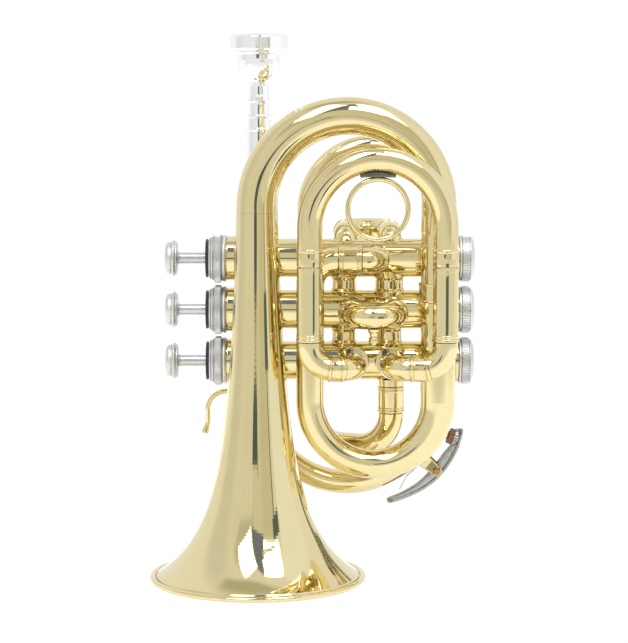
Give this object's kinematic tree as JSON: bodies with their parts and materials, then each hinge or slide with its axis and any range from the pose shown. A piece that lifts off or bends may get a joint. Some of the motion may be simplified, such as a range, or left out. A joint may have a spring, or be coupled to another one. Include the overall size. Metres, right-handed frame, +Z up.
{
  "type": "pocket cornet",
  "caption": "Pocket cornet standing on its bell: tightly wound lacquered brass tubing, piston valves with finger buttons, pull slides, water key and silver mouthpiece.",
  "frame": {"origin": "under the middle of the outer box, on the surface that the bell's rim rests on", "axes": "+Z up from the bell's rim to the mouthpiece; +X along the valves, from the finger buttons to the bottom caps; -Y on the side of the bell and the finger ring"},
  "size_m": [0.1504, 0.116, 0.2506],
  "materials": {
    "lacquered_brass": "polished yellow brass under clear lacquer",
    "gold_brass": "polished gold-coloured brass",
    "silver_plate": "polished silver plate on brass",
    "piston_alloy": "lapped nickel alloy",
    "spring_steel": "bright spring wire",
    "cork": "dense cork",
    "black_felt": "pressed black felt"
  },
  "bodies": {
    "body": {"bell": "lacquered_brass", "bell_bow": "lacquered_brass", "bell_lower_bow": "lacquered_brass", "valve_entry_knuckle": "lacquered_brass", "entry_ferrule": "lacquered_brass", "valve_casing_1": "lacquered_brass", "top_cap_1": "silver_plate", "bottom_cap_1": "silver_plate", "cap_felt_1": "black_felt", "valve_spring_1": "spring_steel", "valve_casing_2": "lacquered_brass", "top_cap_2": "silver_plate", "bottom_cap_2": "silver_plate", "cap_felt_2": "black_felt", "valve_spring_2": "spring_steel", "valve_casing_3": "lacquered_brass", "top_cap_3": "silver_plate", "bottom_cap_3": "silver_plate", "cap_felt_3": "black_felt", "valve_spring_3": "spring_steel", "knuckle_1_2_left": "lacquered_brass", "knuckle_1_2_right": "lacquered_brass", "knuckle_2_3_left": "lacquered_brass", "knuckle_2_3_right": "lacquered_brass", "mouthpiece_receiver": "silver_plate", "leadpipe": "lacquered_brass", "leadpipe_bow": "lacquered_brass", "tuning_sleeve_left": "lacquered_brass", "tuning_sleeve_right": "lacquered_brass", "inlet_bow": "lacquered_brass", "inlet_ferrule": "lacquered_brass", "first_slide_sleeve_left": "lacquered_brass", "first_slide_sleeve_right": "lacquered_brass", "second_slide_sleeve_left": "lacquered_brass", "second_slide_sleeve_right": "lacquered_brass", "third_slide_elbow_left": "lacquered_brass", "third_slide_elbow_right": "lacquered_brass", "third_slide_sleeve_left": "lacquered_brass", "third_slide_sleeve_right": "lacquered_brass", "finger_hook": "lacquered_brass", "bell_brace": "lacquered_brass", "water_key_nipple": "lacquered_brass", "water_key_saddle": "gold_brass", "water_key_pin": "gold_brass", "water_key_spring": "spring_steel"},
    "valve_1": {"piston_1": "piston_alloy", "finger_button_1": "silver_plate"},
    "valve_2": {"piston_2": "piston_alloy", "finger_button_2": "silver_plate"},
    "valve_3": {"piston_3": "piston_alloy", "finger_button_3": "silver_plate"},
    "mouthpiece": {"mouthpiece": "silver_plate"},
    "tuning_slide": {"tuning_slide_bow": "lacquered_brass"},
    "first_slide": {"first_slide_bow": "lacquered_brass"},
    "second_slide": {"second_slide_bow": "lacquered_brass", "second_slide_knob": "lacquered_brass"},
    "third_slide": {"third_slide_bow": "lacquered_brass", "finger_ring": "lacquered_brass"},
    "water_key": {"water_key_lever": "silver_plate", "water_key_cork": "cork"}
  },
  "joints": [
    {"name": "valve_1_press", "type": "slide", "parent": "body", "child": "valve_1", "axis": [1, 0, 0], "range_m": [0, 0.0125], "stiffness_N_per_m": 150, "springref_m": -0.015, "deforming": ["valve_spring_1"]},
    {"name": "valve_2_press", "type": "slide", "parent": "body", "child": "valve_2", "axis": [1, 0, 0], "range_m": [0, 0.0125], "stiffness_N_per_m": 150, "springref_m": -0.015, "deforming": ["valve_spring_2"]},
    {"name": "valve_3_press", "type": "slide", "parent": "body", "child": "valve_3", "axis": [1, 0, 0], "range_m": [0, 0.0125], "stiffness_N_per_m": 150, "springref_m": -0.015, "deforming": ["valve_spring_3"]},
    {"name": "mouthpiece_pull", "type": "slide", "parent": "body", "child": "mouthpiece", "axis": [0, 0, 1], "range_m": [0, 0.03]},
    {"name": "tuning_slide_pull", "type": "slide", "parent": "body", "child": "tuning_slide", "axis": [0, 0, 1], "range_m": [0, 0.025]},
    {"name": "first_slide_pull", "type": "slide", "parent": "body", "child": "first_slide", "axis": [0, 1, 0], "range_m": [0, 0.01]},
    {"name": "second_slide_pull", "type": "slide", "parent": "body", "child": "second_slide", "axis": [0, -1, 0], "range_m": [0, 0.007]},
    {"name": "third_slide_pull", "type": "slide", "parent": "body", "child": "third_slide", "axis": [0, 0, 1], "range_m": [0, 0.022]},
    {"name": "water_key_open", "type": "hinge", "parent": "body", "child": "water_key", "pos_m": [0.05909, 0.03488, 0.04359], "axis": [0, 1, 0], "range_deg": [0, 9], "stiffness_Nm_per_rad": 0.02, "springref_deg": -28.65, "deforming": ["water_key_spring"]}
  ]
}
